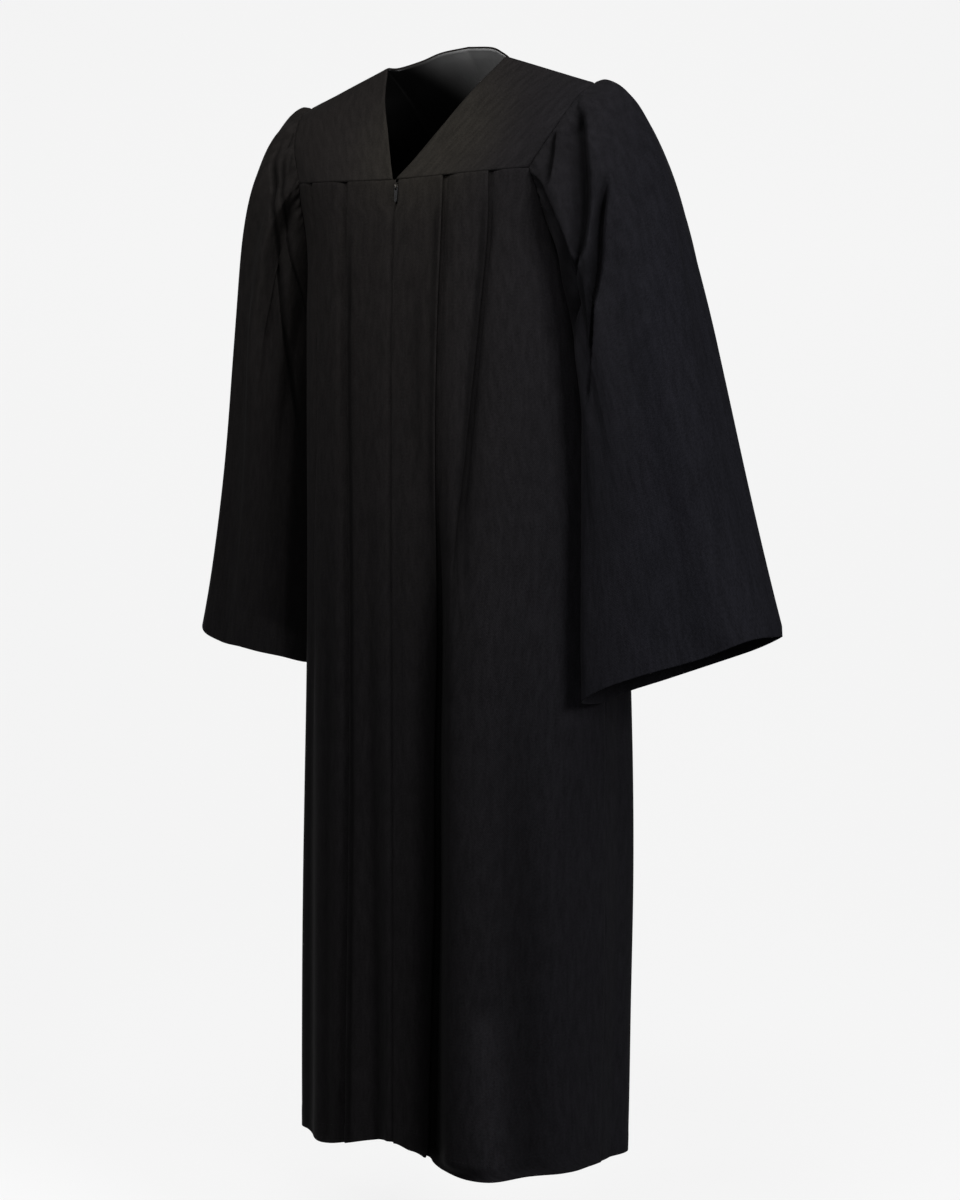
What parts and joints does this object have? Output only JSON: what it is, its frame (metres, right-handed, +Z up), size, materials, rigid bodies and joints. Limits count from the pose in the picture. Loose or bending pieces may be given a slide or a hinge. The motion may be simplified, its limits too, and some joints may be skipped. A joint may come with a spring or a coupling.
{
  "type": "graduation gown",
  "caption": "Worn, hollow black graduation gown with shoulder yokes, pleated fronts, gathered back, wide bell sleeves and a front zip.",
  "frame": {"origin": "midway between the two points where the neck edge meets the shoulder seams, where the gown rests on the shoulders", "axes": "+Z up, -Y the way the gown faces, +X the wearer's left"},
  "size_m": [0.814, 0.2978, 1.2983],
  "materials": {
    "cloth": "matte black plain weave with a faint sheen",
    "lining": "smooth dark satin",
    "tape": "black woven tape",
    "metal": "nickel plated",
    "enamel": "black enamel"
  },
  "bodies": {
    "gown": {"front_yoke_left": "cloth", "front_yoke_right": "cloth", "back_yoke": "cloth", "back_yoke_lining": "lining", "front_left": "cloth", "front_right": "cloth", "back_panel": "cloth", "sleeve_left": "cloth", "sleeve_right": "cloth", "zip_tape": "tape", "zip_slider": "metal"},
    "pull_tab": {"zip_pull": "enamel"}
  },
  "joints": [
    {"name": "pull_tab_hinge", "type": "hinge", "parent": "gown", "child": "pull_tab", "pos_m": [0.0045, -0.10268, -0.1522], "axis": [-1, 0, 0], "range_deg": [0, 140]}
  ]
}
